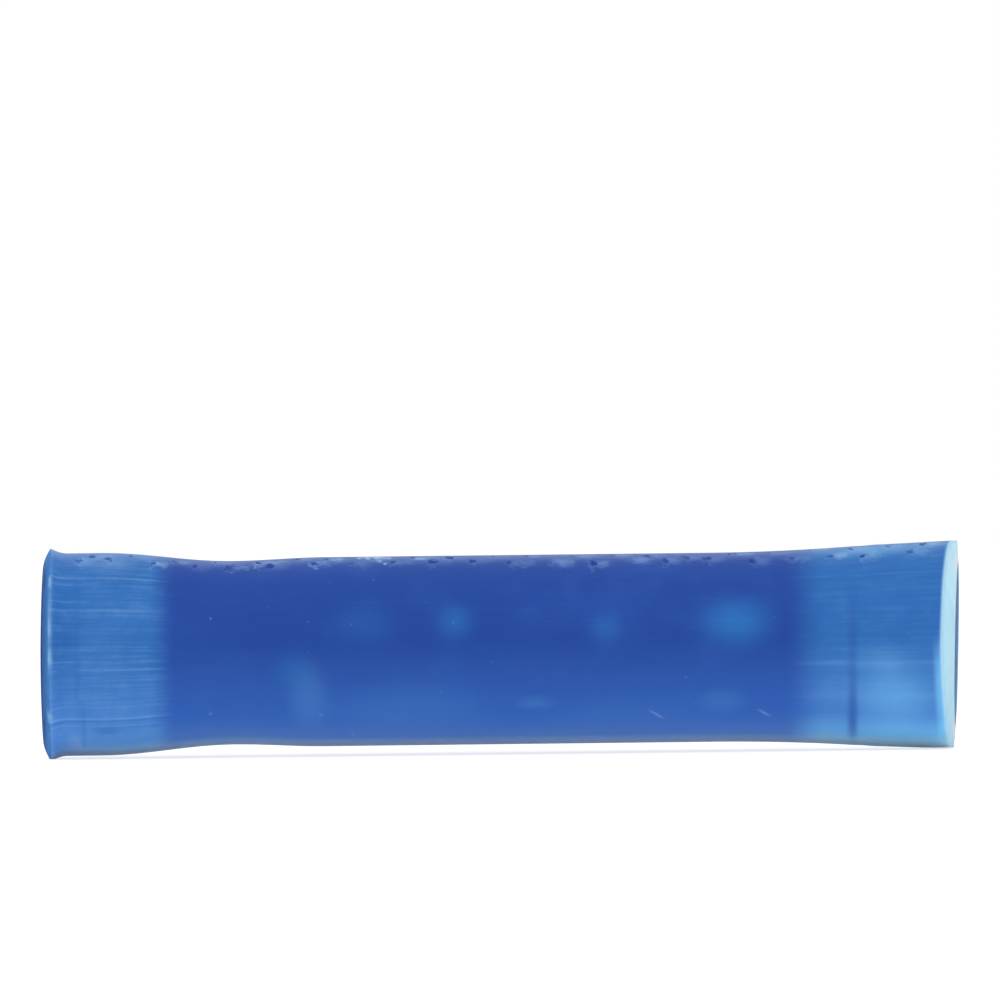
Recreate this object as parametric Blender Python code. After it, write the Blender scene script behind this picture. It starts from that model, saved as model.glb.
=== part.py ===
"""Insulated butt splice connector for joining two wires end to end.

A rolled crimp barrel, with a centre wire stop and serrated bore, lies in a one-piece vinyl sleeve. Both ends
of the sleeve are belled out past the barrel, so that the wires' insulation goes in.

Lengths are in metres. The connector lies along X, +Z is up, and the origin is on the barrel's axis, midway
along the sleeve. Each piece is a closed section in the XZ plane, turned about X and then shaped by its
dents, ovals and cuts.
"""

import math

import bmesh
import bpy
from mathutils import Matrix

# Crimp barrel: bore for 1.5 to 2.5 mm2 conductors
BARREL_LENGTH = 0.0179
BARREL_BORE = 0.0023
BARREL_WALL = 0.0008
BARREL_ENTRY_CHAMFER = 0.00025
BARREL_EDGE_CHAMFER = 0.00012

# Ring serrations in the bore, counted in from each end of the barrel
SERRATION_COUNT = 4
SERRATION_START = 0.0019
SERRATION_PITCH = 0.0012
SERRATION_WIDTH = 0.00048
SERRATION_FLANK = 0.00014
SERRATION_DEPTH = 0.00012

# Wire stop: two opposed dents pressed straight into the middle of the barrel
STOP_LENGTH = 0.0022
STOP_WIDTH = 0.0019
STOP_DEPTH = 0.0007

# Butted and brazed seam along the barrel's back
SEAM_WIDTH = 0.00022
SEAM_DEPTH = 0.00008

# Vinyl sleeve over the barrel
SLEEVE_CLEARANCE = 0.00005
SLEEVE_WALL = 0.0007
SEAT_MARGIN = 0.0001

# Each end was cut off a little askew: a slant leans the cut towards the top, and a swing turns it towards
# the back

# Left end: a neck drawn in over the barrel, a bell, and a curled lip whose crowned cut face leans back
LEFT_OVERHANG = 0.00354
NECK_DEPTH = 0.00008
NECK_REACH = 0.0019
NECK_RUNOUT = 0.0026
LEFT_BELL_RISE = 0.00019
LEFT_BELL_REACH = 0.0019
LEFT_BELL_WALL = 0.00062
LIP_RISE = 0.000145
LIP_LENGTH = 0.0005
LIP_SETBACK = 0.00022
LIP_BORE_RISE = 0.00023
LIP_CROWN = 0.00004
LEFT_CUT_SLANT = math.radians(0.55)
LEFT_CUT_SWING = math.radians(-2.5)

# The left cut is bowed: its front and back stand out past its top and bottom, and the lip's outer edge
# stands out a little further at the front
LEFT_CUT_BOW = 0.00005
LIP_PUSH = 0.00005

# Faint ring that the belling punch left inside the left bell
RING_SETBACK = 0.001
RING_WIDTH = 0.00016
RING_DEPTH = 0.00004

# Right end: a longer bell that starts over the barrel, steps out at a shoulder and goes on opening as a cone
RIGHT_OVERHANG = 0.0046
FLARE_LEAD = 0.0024
FLARE_RISE = 0.00014
SHOULDER_SETBACK = 0.0029
SHOULDER_RUN = 0.0007
SHOULDER_RISE = 0.00004
MOUTH_RISE = 0.00009
RIGHT_BELL_WALL = 0.00061
MOUTH_SETBACK = 0.00005
RIGHT_CUT_SLANT = math.radians(1.6)
RIGHT_CUT_SWING = math.radians(3.1)

# The blade came in from the front and dragged the right mouth's outer edge back on that side, by a share
# less towards the bottom
MOUTH_DRAG = 0.00031
MOUTH_DRAG_POWER = 0.4
MOUTH_DRAG_FADE = 0.5

# The soft bells are a little wider across than high. The connector lies on a small flat below each bell's
# rim, so that it doesn't roll
BELL_OVAL = 0.018
LIP_FLAT_DEPTH = 0.00007
MOUTH_FLAT_DEPTH = 0.00004

# Facets
SLEEVE_SIDES = 60
BARREL_SIDES = 48
CURVE_STEPS = 5
STOP_STEPS = 8
MERGE_DISTANCE = 0.0000001
SHARP_ANGLE = math.radians(35)

# Sizes that follow from those above
BARREL_BORE_RADIUS = BARREL_BORE / 2
BARREL_RADIUS = BARREL_BORE_RADIUS + BARREL_WALL
SEAT_RADIUS = BARREL_RADIUS + SLEEVE_CLEARANCE
BODY_RADIUS = SEAT_RADIUS + SLEEVE_WALL
SLEEVE_LENGTH = LEFT_OVERHANG + BARREL_LENGTH + RIGHT_OVERHANG
SLEEVE_LEFT = -SLEEVE_LENGTH / 2
SLEEVE_RIGHT = SLEEVE_LENGTH / 2
BARREL_LEFT = SLEEVE_LEFT + LEFT_OVERHANG
BARREL_RIGHT = BARREL_LEFT + BARREL_LENGTH
BARREL_MIDDLE = (BARREL_LEFT + BARREL_RIGHT) / 2
LEFT_BELL_RADIUS = BODY_RADIUS + LEFT_BELL_RISE
LEFT_BELL_BORE_RADIUS = LEFT_BELL_RADIUS - LEFT_BELL_WALL
LIP_RADIUS = LEFT_BELL_RADIUS + LIP_RISE
LIP_BORE_RADIUS = LEFT_BELL_BORE_RADIUS + LIP_BORE_RISE
SHOULDER = SLEEVE_RIGHT - SHOULDER_SETBACK
FLARE_RADIUS = BODY_RADIUS + FLARE_RISE
RIGHT_BELL_RADIUS = FLARE_RADIUS + SHOULDER_RISE
MOUTH_RADIUS = RIGHT_BELL_RADIUS + MOUTH_RISE


def clear_scene():
    """Removes the objects that a new Blender file starts with."""
    for obj in list(bpy.data.objects):
        bpy.data.objects.remove(obj, do_unlink=True)


def make_material(name, colour, roughness, metallic, transmission=0.0):
    """A Principled material. colour is its linear red, green and blue."""
    material = bpy.data.materials.new(name)
    material.use_nodes = True
    shader = material.node_tree.nodes["Principled BSDF"]
    shader.inputs["Base Color"].default_value = (*colour, 1.0)
    shader.inputs["Roughness"].default_value = roughness
    shader.inputs["Metallic"].default_value = metallic
    shader.inputs["Transmission Weight"].default_value = transmission
    return material


def smooth_step(share):
    """0 to 1 along half a cosine wave, flat at both ends."""
    return (1 - math.cos(math.pi * share)) / 2


def s_curve(start, end, steps=CURVE_STEPS):
    """Points after start and up to end, (x, radius) each, with the radius on half a cosine wave."""
    shares = [step / steps for step in range(1, steps + 1)]
    return [
        (
            start[0] + (end[0] - start[0]) * share,
            start[1] + (end[1] - start[1]) * smooth_step(share),
        )
        for share in shares
    ]


def flare(start, end, steps=CURVE_STEPS):
    """Points after start and up to end, (x, radius) each, on a parabola that leaves start level."""
    shares = [step / steps for step in range(1, steps + 1)]
    return [
        (
            start[0] + (end[0] - start[0]) * share,
            start[1] + (end[1] - start[1]) * share**2,
        )
        for share in shares
    ]


def turned(section, sides):
    """A bmesh of the closed section, a loop of (x, radius) points, turned once about X.

    It starts half a side round from +Z, so that flats, not corners, lie at the top, bottom, front and back.
    """
    bm = bmesh.new()
    corners = [bm.verts.new((x, 0.0, radius)) for x, radius in section]
    edges = [bm.edges.new((a, b)) for a, b in zip(corners, corners[1:] + corners[:1])]
    half_side = Matrix.Rotation(math.pi / sides, 4, "X")
    bmesh.ops.transform(bm, matrix=half_side, verts=corners)
    bmesh.ops.spin(
        bm, geom=corners + edges, axis=(1, 0, 0), angle=2 * math.pi, steps=sides
    )
    bmesh.ops.remove_doubles(bm, verts=bm.verts, dist=MERGE_DISTANCE)
    bmesh.ops.recalc_face_normals(bm, faces=bm.faces)
    return bm


def add_object(name, bm, material):
    """The bmesh as a named object, shaded smooth but for its sharp edges."""
    mesh = bpy.data.meshes.new(name)
    bm.to_mesh(mesh)
    bm.free()
    mesh.materials.append(material)
    mesh.shade_smooth()
    mesh.set_sharp_from_angle(angle=SHARP_ANGLE)
    obj = bpy.data.objects.new(name, mesh)
    bpy.context.scene.collection.objects.link(obj)
    return obj


def serrations():
    """The ring grooves in the bore's right and left halves, as (x, radius) points from right to left."""
    setbacks = [SERRATION_START + i * SERRATION_PITCH for i in range(SERRATION_COUNT)]
    right_half = [BARREL_RIGHT - setback for setback in setbacks]
    left_half = [BARREL_LEFT + setback for setback in reversed(setbacks)]
    floor_radius = BARREL_BORE_RADIUS + SERRATION_DEPTH
    half_mouth = SERRATION_WIDTH / 2
    half_floor = half_mouth - SERRATION_FLANK

    def groove(centre):
        return [
            (centre + half_mouth, BARREL_BORE_RADIUS),
            (centre + half_floor, floor_radius),
            (centre - half_floor, floor_radius),
            (centre - half_mouth, BARREL_BORE_RADIUS),
        ]

    right_grooves = [point for centre in right_half for point in groove(centre)]
    left_grooves = [point for centre in left_half for point in groove(centre)]
    return right_grooves, left_grooves


def stop_stations(radius, direction):
    """Evenly spaced points along the wire stop, so that the barrel's wall can take the dents' curve."""
    spacing = STOP_LENGTH / STOP_STEPS
    return [
        (BARREL_MIDDLE + direction * (step - STOP_STEPS / 2) * spacing, radius)
        for step in range(STOP_STEPS + 1)
    ]


def barrel_section():
    """The barrel's wall cut along its length: outside from left to right, then bore from right to left."""
    right_grooves, left_grooves = serrations()
    outside = [
        (BARREL_LEFT, BARREL_RADIUS - BARREL_EDGE_CHAMFER),
        (BARREL_LEFT + BARREL_EDGE_CHAMFER, BARREL_RADIUS),
        *stop_stations(BARREL_RADIUS, 1),
        (BARREL_RIGHT - BARREL_EDGE_CHAMFER, BARREL_RADIUS),
        (BARREL_RIGHT, BARREL_RADIUS - BARREL_EDGE_CHAMFER),
    ]
    bore = [
        (BARREL_RIGHT, BARREL_BORE_RADIUS + BARREL_ENTRY_CHAMFER),
        (BARREL_RIGHT - BARREL_ENTRY_CHAMFER, BARREL_BORE_RADIUS),
        *right_grooves,
        *stop_stations(BARREL_BORE_RADIUS, -1),
        *left_grooves,
        (BARREL_LEFT + BARREL_ENTRY_CHAMFER, BARREL_BORE_RADIUS),
        (BARREL_LEFT, BARREL_BORE_RADIUS + BARREL_ENTRY_CHAMFER),
    ]
    return outside + bore


def press_wire_stop(bm):
    """Dents the barrel from above and below. A point moves straight down or up by a cosine-squared bump."""
    for vert in bm.verts:
        along = (vert.co.x - BARREL_MIDDLE) / STOP_LENGTH
        across = vert.co.y / STOP_WIDTH
        if abs(along) >= 0.5 or abs(across) >= 0.5:
            continue
        bump = (math.cos(math.pi * along) * math.cos(math.pi * across)) ** 2
        vert.co.z -= math.copysign(STOP_DEPTH * bump, vert.co.z)


def make_seam_cutter():
    """A V-shaped prism that runs past both ends of the barrel, at its back."""
    overrun = BARREL_WALL
    floor = BARREL_RADIUS - SEAM_DEPTH
    # The V keeps its slope above the barrel's surface, so that its width is true at that surface
    rim = BARREL_RADIUS + SEAM_DEPTH
    corners = [(floor, 0.0), (rim, -SEAM_WIDTH), (rim, SEAM_WIDTH)]
    bm = bmesh.new()
    ends = [
        [bm.verts.new((x, y, z)) for y, z in corners]
        for x in (BARREL_LEFT - overrun, BARREL_RIGHT + overrun)
    ]
    for end in ends:
        bm.faces.new(end)
    for i in range(len(corners)):
        j = (i + 1) % len(corners)
        bm.faces.new((ends[0][i], ends[0][j], ends[1][j], ends[1][i]))
    bmesh.ops.recalc_face_normals(bm, faces=bm.faces)
    mesh = bpy.data.meshes.new("seam_cutter")
    bm.to_mesh(mesh)
    bm.free()
    cutter = bpy.data.objects.new("seam_cutter", mesh)
    bpy.context.scene.collection.objects.link(cutter)
    cutter.hide_render = True
    cutter.display_type = "WIRE"
    return cutter


def make_barrel():
    """The barrel, turned, dented for the wire stop and grooved along its seam."""
    metal = make_material("tinned_copper", colour=(0.62, 0.61, 0.58), roughness=0.32, metallic=1.0)
    bm = turned(barrel_section(), BARREL_SIDES)
    press_wire_stop(bm)
    barrel = add_object("crimp_barrel", bm, metal)
    seam = barrel.modifiers.new("seam", "BOOLEAN")
    seam.operation = "DIFFERENCE"
    seam.solver = "EXACT"
    seam.object = make_seam_cutter()
    return barrel


def sleeve_outside():
    """The sleeve's outer line, from the left cut face to the right mouth."""
    lip_crown = (SLEEVE_LEFT + LIP_SETBACK / 2 - LIP_CROWN, (LIP_RADIUS + LIP_BORE_RADIUS) / 2)
    lip_edge = (SLEEVE_LEFT + LIP_SETBACK, LIP_RADIUS)
    lip_root = (lip_edge[0] + LIP_LENGTH, LEFT_BELL_RADIUS)
    bell_crest = (BARREL_LEFT - LEFT_BELL_REACH, LEFT_BELL_RADIUS)
    neck = (BARREL_LEFT + NECK_REACH, BODY_RADIUS - NECK_DEPTH)
    body_start = (neck[0] + NECK_RUNOUT, BODY_RADIUS)
    body_end = (BARREL_RIGHT - FLARE_LEAD, BODY_RADIUS)
    shoulder = (SHOULDER, FLARE_RADIUS)
    right_bell = (SHOULDER + SHOULDER_RUN, RIGHT_BELL_RADIUS)
    mouth = (SLEEVE_RIGHT - MOUTH_SETBACK, MOUTH_RADIUS)
    return [
        lip_crown,
        *reversed(flare(lip_root, lip_edge)),
        lip_root,
        bell_crest,
        *s_curve(bell_crest, neck, 2 * CURVE_STEPS),
        *s_curve(neck, body_start),
        body_end,
        *flare(body_end, shoulder),
        *s_curve(shoulder, right_bell),
        mouth,
    ]


def sleeve_bore():
    """The sleeve's inner line, from the right mouth to the left lip."""
    mouth = (SLEEVE_RIGHT, MOUTH_RADIUS - RIGHT_BELL_WALL)
    shoulder = (SHOULDER, RIGHT_BELL_RADIUS - RIGHT_BELL_WALL)
    shoulder_foot = (SHOULDER - SHOULDER_RISE, FLARE_RADIUS - RIGHT_BELL_WALL)
    seat_right = (BARREL_RIGHT + SEAT_MARGIN, SEAT_RADIUS)
    seat_left = (BARREL_LEFT - SEAT_MARGIN, SEAT_RADIUS)
    bell_bore = (BARREL_LEFT - LEFT_BELL_REACH, LEFT_BELL_BORE_RADIUS)
    ring = SLEEVE_LEFT + RING_SETBACK
    lip_root = (SLEEVE_LEFT + LIP_SETBACK + LIP_LENGTH, LEFT_BELL_BORE_RADIUS)
    lip = (SLEEVE_LEFT, LIP_BORE_RADIUS)
    return [
        mouth,
        shoulder,
        shoulder_foot,
        *s_curve(shoulder_foot, seat_right),
        seat_left,
        *s_curve(seat_left, bell_bore),
        (ring + RING_WIDTH / 2, LEFT_BELL_BORE_RADIUS),
        (ring, LEFT_BELL_BORE_RADIUS + RING_DEPTH),
        (ring - RING_WIDTH / 2, LEFT_BELL_BORE_RADIUS),
        lip_root,
        *flare(lip_root, lip),
    ]


def bell_share(x):
    """0 over the barrel, rising along each bell to 1 at its mouth."""
    if x < BARREL_LEFT:
        return smooth_step((BARREL_LEFT - x) / LEFT_OVERHANG)
    if x > BARREL_RIGHT:
        return smooth_step((x - BARREL_RIGHT) / RIGHT_OVERHANG)
    return 0.0


def bow_left_cut(bm):
    """Moves the left bell's front and back out along X, and the lip's outer edge more at the front."""
    for vert in bm.verts:
        if vert.co.x > BARREL_LEFT:
            continue
        radius = math.hypot(vert.co.y, vert.co.z)
        side = vert.co.y / radius
        push = LIP_PUSH * max(0.0, -side) if radius > LIP_RADIUS - MERGE_DISTANCE else 0.0
        vert.co.x -= LEFT_CUT_BOW * side**2 * bell_share(vert.co.x) + push


def drag_mouth_edge(bm):
    """Sets the right mouth's outer edge back at the front, fading to nothing at the top and bottom."""
    mid_wall = MOUTH_RADIUS - RIGHT_BELL_WALL / 2
    for vert in bm.verts:
        radius = math.hypot(vert.co.y, vert.co.z)
        if vert.co.x > SLEEVE_RIGHT - 2 * MOUTH_SETBACK and radius > mid_wall:
            front = max(0.0, -vert.co.y / radius)
            fade = 1 - MOUTH_DRAG_FADE * max(0.0, -vert.co.z / radius)
            vert.co.x -= MOUTH_DRAG * fade * front**MOUTH_DRAG_POWER


def shape_bells(bm):
    """Makes both bells oval across Y and flat below, then shears them by their cuts' slant and swing."""
    for vert in bm.verts:
        share = bell_share(vert.co.x)
        at_left = vert.co.x < 0
        slant = LEFT_CUT_SLANT if at_left else RIGHT_CUT_SLANT
        swing = LEFT_CUT_SWING if at_left else RIGHT_CUT_SWING
        rest_height = LIP_RADIUS - LIP_FLAT_DEPTH if at_left else MOUTH_RADIUS - MOUTH_FLAT_DEPTH
        vert.co.y *= 1 + BELL_OVAL * share
        vert.co.z = max(vert.co.z, -rest_height)
        lean = math.tan(slant) * vert.co.z + math.tan(swing) * vert.co.y
        vert.co.x += lean * share


def make_sleeve():
    """The sleeve, turned, cut by the blade at both ends and shaped in its bells."""
    vinyl = make_material(
        "blue_vinyl", colour=(0.05, 0.19, 0.52), roughness=0.38, metallic=0.0, transmission=0.35
    )
    bm = turned(sleeve_outside() + sleeve_bore(), SLEEVE_SIDES)
    bow_left_cut(bm)
    drag_mouth_edge(bm)
    shape_bells(bm)
    return add_object("vinyl_sleeve", bm, vinyl)


clear_scene()
make_barrel()
make_sleeve()
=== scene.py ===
"""Looks of an insulated butt splice connector: its vinyl sleeve, its tinned barrel and a plain studio.

Lengths are in metres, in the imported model's frame: the connector lies along X, +Z is up and the barrel's
seam is at +Y. A turn is an angle about X in radians, 0 at the top and growing over the front, so that a
point at radius r has y = -r sin(turn) and z = r cos(turn). Both pieces are closed sections in (x, radius),
carried round X.
"""

import logging
import math
from dataclasses import dataclass, field
from enum import Enum
from typing import Any

import bpy
import numpy as np
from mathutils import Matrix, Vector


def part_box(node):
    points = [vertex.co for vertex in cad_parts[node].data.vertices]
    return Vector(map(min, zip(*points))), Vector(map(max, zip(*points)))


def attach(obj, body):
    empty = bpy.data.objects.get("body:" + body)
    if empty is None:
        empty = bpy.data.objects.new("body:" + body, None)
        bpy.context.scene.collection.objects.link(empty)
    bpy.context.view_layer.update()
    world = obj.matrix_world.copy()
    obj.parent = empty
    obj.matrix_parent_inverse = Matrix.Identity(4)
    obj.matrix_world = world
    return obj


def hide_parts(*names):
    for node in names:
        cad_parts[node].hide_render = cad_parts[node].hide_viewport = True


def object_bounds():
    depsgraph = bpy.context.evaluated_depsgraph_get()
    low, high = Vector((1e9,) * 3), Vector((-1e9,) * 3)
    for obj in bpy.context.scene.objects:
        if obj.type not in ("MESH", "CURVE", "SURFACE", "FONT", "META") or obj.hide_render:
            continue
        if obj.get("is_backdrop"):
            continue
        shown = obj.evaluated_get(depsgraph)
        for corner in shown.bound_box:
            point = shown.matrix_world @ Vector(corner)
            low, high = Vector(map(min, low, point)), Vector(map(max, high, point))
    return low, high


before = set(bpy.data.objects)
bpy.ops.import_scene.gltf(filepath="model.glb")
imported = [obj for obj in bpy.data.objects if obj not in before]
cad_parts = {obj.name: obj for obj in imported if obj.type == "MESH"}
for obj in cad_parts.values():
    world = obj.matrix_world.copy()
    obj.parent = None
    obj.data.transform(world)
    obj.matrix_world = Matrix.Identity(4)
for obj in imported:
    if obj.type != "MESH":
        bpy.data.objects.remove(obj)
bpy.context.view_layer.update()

MM = 0.001
BODY = "root"
QUARTER_TURN = math.pi / 2
FULL_TURN = 2 * math.pi
WRAP_MAP = "wrap"
WHITE = (1.0, 1.0, 1.0, 1.0)
# A line's points within a corner's rounding, or only just past it, are left out
PAST_ROUNDING = 1.02

log = logging.getLogger("butt_splice")

Colour = tuple[float, float, float]
Span = tuple[float, float]
Socket = bpy.types.NodeSocket


class Layer(Enum):
    """The masks that a mesh carries for its material, one number at each point."""

    BACKING = "backing"
    # Painted floor light: the vinyl lighter towards the bottom
    UNDERSIDE_LIGHT = "underside"
    BLOOM = "bloom"
    SHADE = "shade"
    # Pale marks and scuffs, with painted sheen along the top, painted floor light and painted highlights
    PALE_AND_LIGHT = "pale"
    ROUGH = "rough"
    # Painted light through the wall, with the clouds between the grip marks
    HAZE_LIGHT = "haze_light"
    # Painted light coming out of the cuts and low on the bells
    GLOW = "glow"
    # Painted light: the right cut's pale rim
    RIM_LIGHT = "rim"
    # Painted shade on the left cut, towards its bore
    LIP_SHADE = "lip"
    BORE = "bore"
    SEAM = "seam"
    MATTE = "matte"


class Stretch(Enum):
    """The stretches of a tube's closed section, in their order round it."""

    OUTSIDE = 0
    RIGHT_END = 1
    INSIDE = 2
    LEFT_END = 3


def smooth_step(share: np.ndarray) -> np.ndarray:
    """Half a cosine wave: 0 below 0, 1 above 1, and level at both."""
    return (1 - np.cos(np.pi * np.clip(share, 0, 1))) / 2


def mound(distance: np.ndarray) -> np.ndarray:
    """A round mound: cosine squared, 1 at distance 0 and level at 0 from distance 1 on."""
    return np.cos(QUARTER_TURN * np.clip(np.abs(distance), 0, 1)) ** 2


def turn_apart(turns: np.ndarray, centre: float) -> np.ndarray:
    """The signed angle from centre to each turn, the short way round."""
    return (turns - centre + math.pi) % FULL_TURN - math.pi


@dataclass(frozen=True)
class Slope:
    """A straight line: gain times a value, plus offset."""

    gain: float
    offset: float

    def at(self, value: Any) -> Any:
        """Its height at a number, or at each number of a grid."""
        return self.gain * value + self.offset


@dataclass(frozen=True)
class Rise:
    """A rise on half a cosine wave: 0 up to start, and strength from start plus span on.

    With a span below 0 it falls: it is strength up to start plus span, and 0 from start on.
    """

    start: float
    span: float
    strength: float = 1.0

    def at(self, value: np.ndarray) -> np.ndarray:
        """Its height at each value."""
        return self.strength * smooth_step((value - self.start) / self.span)

    def round_x(self, turns: np.ndarray) -> np.ndarray:
        """Its height at each turn, with its start and span taken as degrees round X."""
        past_start = turn_apart(turns, math.radians(self.start))
        return self.strength * smooth_step(past_start / math.radians(self.span))


@dataclass(frozen=True)
class Ridge:
    """A round mound: strength at its middle, and 0 from reach on."""

    middle: float
    reach: float
    strength: float = 1.0

    def at(self, value: np.ndarray) -> np.ndarray:
        """Its height at each value."""
        return self.strength * mound((value - self.middle) / self.reach)

    def round_x(self, turns: np.ndarray) -> np.ndarray:
        """Its height at each turn, with its middle and reach taken as degrees round X."""
        from_middle = turn_apart(turns, math.radians(self.middle))
        return self.strength * mound(from_middle / math.radians(self.reach))


@dataclass(frozen=True)
class Ripple:
    """An even wobble round a ring: sine waves of 1 to waves periods, each lower by its number."""

    seed: int
    waves: int
    height: float

    def at(self, turns: np.ndarray) -> np.ndarray:
        """How far it goes at each turn, up to about its height both ways."""
        phases = np.random.default_rng(self.seed).uniform(0, FULL_TURN, self.waves)
        numbers = np.arange(1, self.waves + 1)
        parts = np.sin(turns[..., None] * numbers + phases) / numbers
        return self.height * parts.sum(axis=-1) / math.sqrt(self.waves)


def s_curve(start: Span, end: Span, steps: int) -> np.ndarray:
    """Points after start and up to end, with the radius on half a cosine wave along x."""
    share = np.arange(1, steps + 1) / steps
    x = start[0] + (end[0] - start[0]) * share
    radius = start[1] + (end[1] - start[1]) * smooth_step(share)
    return np.column_stack([x, radius])


def flare(start: Span, end: Span, steps: int) -> np.ndarray:
    """Points after start and up to end, on a parabola that leaves start level."""
    share = np.arange(1, steps + 1) / steps
    x = start[0] + (end[0] - start[0]) * share
    radius = start[1] + (end[1] - start[1]) * share**2
    return np.column_stack([x, radius])


def straight(start: Span, end: Span, steps: int) -> np.ndarray:
    """Points from start to end, both included, evenly spaced on a straight line."""
    return np.linspace(start, end, steps + 1)


def towards(start: np.ndarray, end: np.ndarray, distance: float) -> np.ndarray:
    """The point at that distance from start on the way to end."""
    return start + (end - start) / np.linalg.norm(end - start) * distance


@dataclass(frozen=True)
class Section:
    """A tube's closed section: (x, radius) points, and the stretch that each belongs to."""

    points: np.ndarray
    stretches: np.ndarray

    @classmethod
    def rounded(cls, lines: list[np.ndarray], reach: float, steps: int) -> "Section":
        """Joins four lines into a loop and rounds its corners.

        Each line ends where the next starts. A corner becomes a quadratic curve, which leaves its lines at a
        distance of reach from the corner and is pulled towards the corner in between.

        Args:
            lines: the stretches in the order of Stretch, as (x, radius) points.
            reach: how far from the corner its rounding starts.
            steps: how many steps each rounding has.

        Returns:
            The closed section.
        """
        share = (np.arange(1, steps) / steps)[:, None]
        points, stretches = [], []
        for number, line in enumerate(lines):
            after = lines[(number + 1) % len(lines)]
            first, last = line[0], line[-1]
            away = np.minimum(np.linalg.norm(line - first, axis=1), np.linalg.norm(line - last, axis=1))
            near_last = towards(last, line[-2], reach)
            near_after = towards(last, after[1], reach)
            curve = (1 - share) ** 2 * near_last + 2 * share * (1 - share) * last + share**2 * near_after
            plain = line[away > reach * PAST_ROUNDING]
            stretch = np.vstack([towards(first, line[1], reach), plain, near_last, curve])
            points.append(stretch)
            stretches.append(np.full(len(stretch), number))
        return cls(np.vstack(points), np.concatenate(stretches))

    def on(self, stretch: Stretch) -> np.ndarray:
        """1 for the points of that stretch, 0 for the rest, as a column."""
        return (self.stretches == stretch.value).astype(float)[:, None]


def turns_with(dense: tuple[tuple[float, float, float], ...], spacing: float) -> np.ndarray:
    """Angles once round X, close together in some bands and wider apart elsewhere.

    Args:
        dense: bands as (first, last, spacing) in degrees, in order and apart from each other.
        spacing: the rest's spacing in degrees.

    Returns:
        The turns in radians, from the first band on, without a repeat at the end.
    """
    pieces = []
    for number, (first, last, step) in enumerate(dense):
        following = dense[number + 1][0] if number + 1 < len(dense) else dense[0][0] + 360
        pieces.append(np.linspace(first, last, round((last - first) / step), endpoint=False))
        pieces.append(np.linspace(last, following, round((following - last) / spacing), endpoint=False))
    return np.radians(np.concatenate(pieces))


def at_corners(grid: np.ndarray) -> np.ndarray:
    """A grid's values at each quad's corners: (i, j), (i, j + 1), (i + 1, j + 1) and (i + 1, j)."""
    beside = np.roll(grid, -1, axis=1)
    return np.stack([grid, beside, np.roll(beside, -1, axis=0), np.roll(grid, -1, axis=0)], axis=-1)


def linked(name: str, data: bpy.types.ID) -> bpy.types.Object:
    """A new object with that data, linked to the scene."""
    thing = bpy.data.objects.new(name, data)
    bpy.context.scene.collection.objects.link(thing)
    return thing


def carried_round(
    name: str, points: np.ndarray, layers: dict[Layer, np.ndarray], turns: np.ndarray
) -> bpy.types.Object:
    """Makes an object from a grid that closes both ways: along its section and round X.

    The last station and turn are joined to the first, and each quad's corners run so that its face points
    away from the section's wall.

    Args:
        name: the object's name.
        points: x, y and z at each station and turn.
        layers: one mask each, which spreads over the stations and turns.
        turns: the grid's turns, which become the V of its UV map. Its U is x in millimetres.

    Returns:
        The object, shaded smooth.
    """
    stations, columns = points.shape[:2]
    quads = at_corners(np.arange(stations * columns, dtype=np.int32).reshape(stations, columns))
    mesh = bpy.data.meshes.new(name)
    mesh.vertices.add(stations * columns)
    mesh.vertices.foreach_set("co", points.astype(np.float32).ravel())
    mesh.loops.add(quads.size)
    mesh.loops.foreach_set("vertex_index", quads.ravel())
    mesh.polygons.add(stations * columns)
    mesh.polygons.foreach_set("loop_start", np.arange(0, quads.size, 4, dtype=np.int32))
    mesh.update(calc_edges=True)
    start = turns / FULL_TURN
    end = np.append(start[1:], start[0] + 1)
    across = np.broadcast_to(np.stack([start, end, end, start], axis=-1), quads.shape)
    wrap = np.stack([at_corners(points[:, :, 0]) / MM, across], axis=-1)
    mesh.uv_layers.new(name=WRAP_MAP).data.foreach_set("uv", wrap.astype(np.float32).ravel())
    for layer, values in layers.items():
        attribute = mesh.attributes.new(layer.value, "FLOAT", "POINT")
        full = np.broadcast_to(values, (stations, columns))
        attribute.data.foreach_set("value", full.astype(np.float32).ravel())
    mesh.shade_smooth()
    mesh.validate()
    return linked(name, mesh)


@dataclass(frozen=True)
class Grain:
    """A noise pattern: its scale, the number of its finer steps and their roughness."""

    scale: float
    detail: float
    roughness: float = 0.5


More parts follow.
